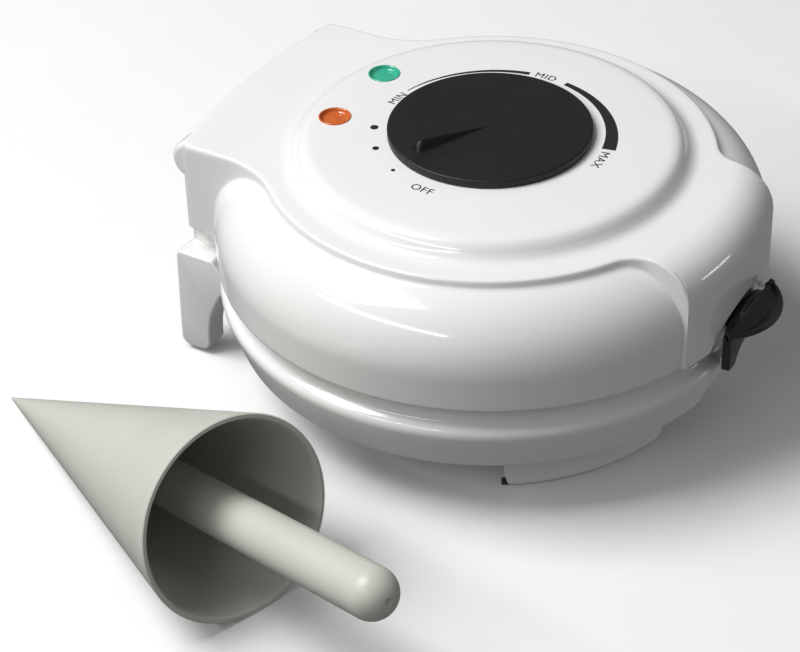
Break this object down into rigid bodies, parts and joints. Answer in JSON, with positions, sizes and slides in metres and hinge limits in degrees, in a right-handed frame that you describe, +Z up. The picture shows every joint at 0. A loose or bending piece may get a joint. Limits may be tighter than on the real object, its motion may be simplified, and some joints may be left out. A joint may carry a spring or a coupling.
{
  "type": "electric krumkake iron",
  "caption": "Round countertop krumkake iron with a hinged lid, flat turning heat knob, front latch and a loose cone roller.",
  "frame": {"origin": "on the floor plane, on the vertical axis of the two round baking plates", "axes": "+Z up; the latch and tongue at -Y, the hinge at +Y; the loose roller lies at -X"},
  "size_m": [0.3172, 0.2733, 0.1098],
  "materials": {
    "white_shell": "high gloss moulded plastic",
    "dark_latch": "satin dark grey plastic",
    "knob_black": "fine matte black plastic",
    "baking_plate": "cast aluminium with a dark non-stick coat",
    "steel": "zinc plated or pressed steel",
    "heater_sheath": "annealed heater sheath",
    "rubber": "dark rubber",
    "ceramic": "glazed ceramic and phenolic",
    "lens_green": "tinted clear plastic lens",
    "lens_orange": "tinted clear plastic lens",
    "lamp_glass": "clear neon lamp glass",
    "roller": "matte warm grey plastic"
  },
  "bodies": {
    "base": {"lower_housing": "white_shell", "bottom_cover": "steel", "front_foot_left": "white_shell", "front_foot_right": "white_shell", "rear_leg_left": "white_shell", "rear_leg_right": "white_shell", "foot_pads": "rubber", "lower_plate": "baking_plate", "lower_heater": "heater_sheath", "lower_heat_shield": "steel", "lower_plate_screws": "steel", "bottom_cover_screws": "steel", "hinge_pin_left": "steel", "hinge_pin_right": "steel", "cord_gland": "dark_latch", "terminal_block": "ceramic", "thermal_fuse": "ceramic"},
    "lid": {"upper_housing": "white_shell", "upper_plate": "baking_plate", "upper_heater": "heater_sheath", "upper_heat_shield": "steel", "upper_plate_screws": "steel", "thermostat_body": "ceramic", "thermostat_bracket": "steel", "thermostat_nut": "steel", "green_lens": "lens_green", "orange_lens": "lens_orange", "green_lamp": "lamp_glass", "orange_lamp": "lamp_glass", "lamp_bracket": "steel", "rest_bumper_left": "white_shell", "rest_bumper_right": "white_shell", "latch_pin": "steel"},
    "knob": {"control_knob": "knob_black", "knob_pointer": "knob_black", "thermostat_shaft": "steel"},
    "latch": {"latch_clip": "dark_latch"},
    "roller": {"roller_cone": "roller", "roller_handle": "roller"}
  },
  "joints": [
    {"name": "lid_hinge", "type": "hinge", "parent": "base", "child": "lid", "pos_m": [0, 0.102, 0.064], "axis": [-1, 0, 0], "range_deg": [0, 100]},
    {"name": "knob_turn", "type": "hinge", "parent": "lid", "child": "knob", "pos_m": [0, 0, 0.104], "axis": [0, 0, 1], "range_deg": [-236, 26]},
    {"name": "latch_swing", "type": "hinge", "parent": "lid", "child": "latch", "pos_m": [0, -0.1045, 0.0574], "axis": [-1, 0, 0], "range_deg": [0, 25]},
    {"name": "roller_lift", "type": "slide", "parent": "base", "child": "roller", "axis": [0, 0, 1], "range_m": [0, 0.15]}
  ]
}
